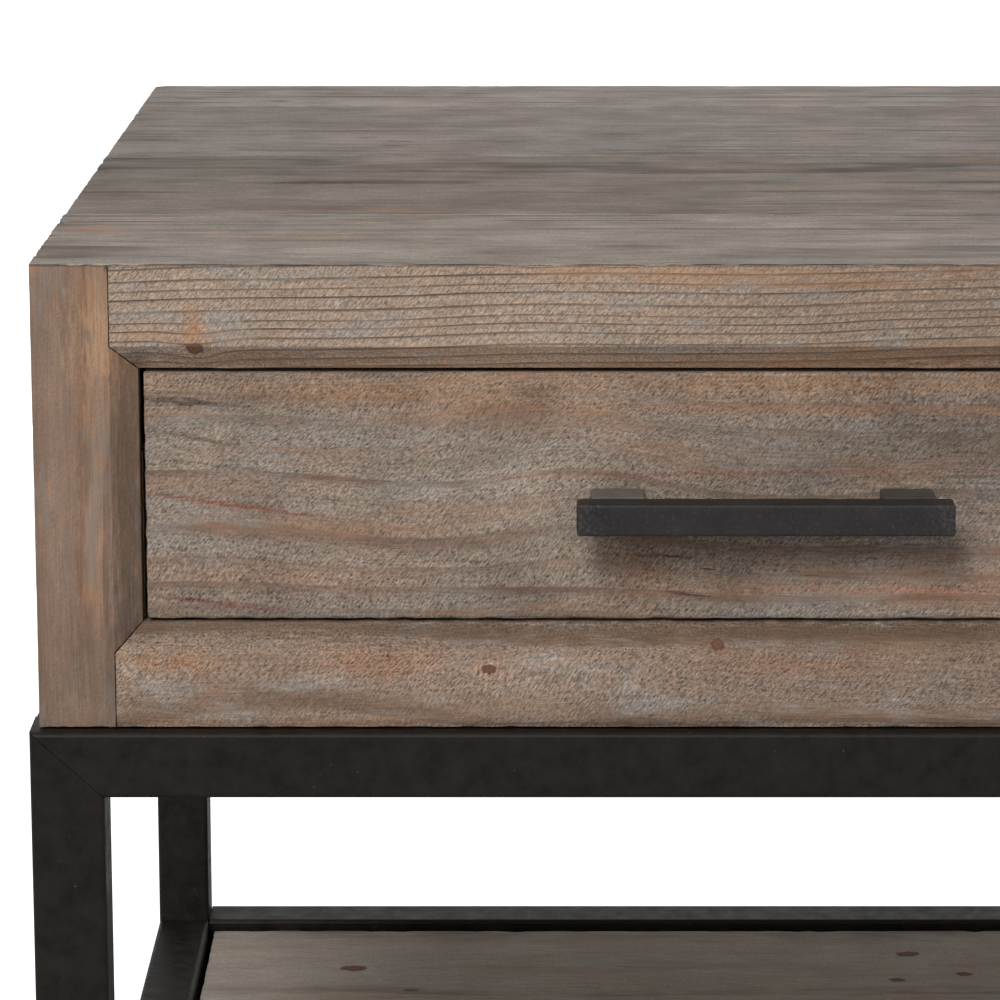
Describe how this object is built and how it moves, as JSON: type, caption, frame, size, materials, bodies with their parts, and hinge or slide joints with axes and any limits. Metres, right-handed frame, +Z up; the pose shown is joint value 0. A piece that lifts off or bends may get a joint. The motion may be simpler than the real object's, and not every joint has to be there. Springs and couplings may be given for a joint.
{
  "type": "side table with drawer",
  "caption": "Wooden side table case with a bar-handled drawer on full-extension slides, carried by a black square-tube steel frame with a plank shelf below.",
  "frame": {"origin": "centre of the footprint on the floor, handle included", "axes": "+Z up, -Y is the front with the drawer, +X to the right seen from the front"},
  "size_m": [0.61, 0.666, 0.61],
  "materials": {
    "black_steel": "satin black, slightly brown",
    "black_plastic": "matte",
    "zinc_steel": "zinc plated",
    "shelf_wood": "weathered, brushed, matte, dark",
    "top_wood": "weathered grey-brown, brushed, matte",
    "frame_wood": "weathered, brushed, matte, warm",
    "drawer_wood": "weathered, brushed, matte",
    "inner_wood": "plain pine, unfinished",
    "handle_iron": "dark rubbed iron"
  },
  "bodies": {
    "table": {"leg_front_left": "black_steel", "leg_front_right": "black_steel", "leg_rear_left": "black_steel", "leg_rear_right": "black_steel", "top_rail_front": "black_steel", "top_rail_rear": "black_steel", "top_rail_left": "black_steel", "top_rail_right": "black_steel", "shelf_rail_front": "black_steel", "shelf_rail_rear": "black_steel", "shelf_rail_left": "black_steel", "shelf_rail_right": "black_steel", "corner_plate_front_left": "black_steel", "corner_plate_front_right": "black_steel", "corner_plate_rear_left": "black_steel", "corner_plate_rear_right": "black_steel", "shelf_cleat_left": "black_steel", "shelf_cleat_right": "black_steel", "foot_glide_front_left": "black_plastic", "foot_glide_front_right": "black_plastic", "foot_glide_rear_left": "black_plastic", "foot_glide_rear_right": "black_plastic", "case_screw_front_left": "zinc_steel", "case_screw_front_right": "zinc_steel", "case_screw_rear_left": "zinc_steel", "case_screw_rear_right": "zinc_steel", "slide_outer_left": "zinc_steel", "slide_outer_right": "zinc_steel", "shelf_plank_1": "shelf_wood", "shelf_plank_2": "shelf_wood", "shelf_plank_3": "shelf_wood", "top_plank_1": "top_wood", "top_plank_2": "top_wood", "top_plank_3": "top_wood", "top_plank_4": "top_wood", "stile_left": "frame_wood", "stile_right": "frame_wood", "case_rail_top": "frame_wood", "case_rail_bottom": "frame_wood", "side_panel_left": "frame_wood", "side_panel_right": "frame_wood", "slide_spacer_left": "inner_wood", "slide_spacer_right": "inner_wood", "back_panel": "inner_wood", "bottom_panel": "inner_wood"},
    "drawer": {"drawer_front": "drawer_wood", "drawer_side_left": "inner_wood", "drawer_side_right": "inner_wood", "drawer_back": "inner_wood", "drawer_bottom": "inner_wood", "handle_bar": "handle_iron", "handle_post_left": "handle_iron", "handle_post_right": "handle_iron", "handle_screw_left": "zinc_steel", "handle_screw_right": "zinc_steel", "slide_inner_left": "zinc_steel", "slide_inner_right": "zinc_steel"},
    "slide_middle_body_left": {"slide_middle_left": "zinc_steel"},
    "slide_middle_body_right": {"slide_middle_right": "zinc_steel"}
  },
  "joints": [
    {"name": "drawer_slide", "type": "slide", "parent": "table", "child": "drawer", "axis": [0, -1, 0], "range_m": [0, 0.45]},
    {"name": "slide_middle_left_slide", "type": "slide", "parent": "table", "child": "slide_middle_body_left", "axis": [0, -1, 0], "range_m": [0, 0.225]},
    {"name": "slide_middle_right_slide", "type": "slide", "parent": "table", "child": "slide_middle_body_right", "axis": [0, -1, 0], "range_m": [0, 0.225]}
  ],
  "couplings": [
    {"joint": "slide_middle_left_slide", "follows": "drawer_slide", "ratio": 0.5},
    {"joint": "slide_middle_right_slide", "follows": "drawer_slide", "ratio": 0.5}
  ]
}
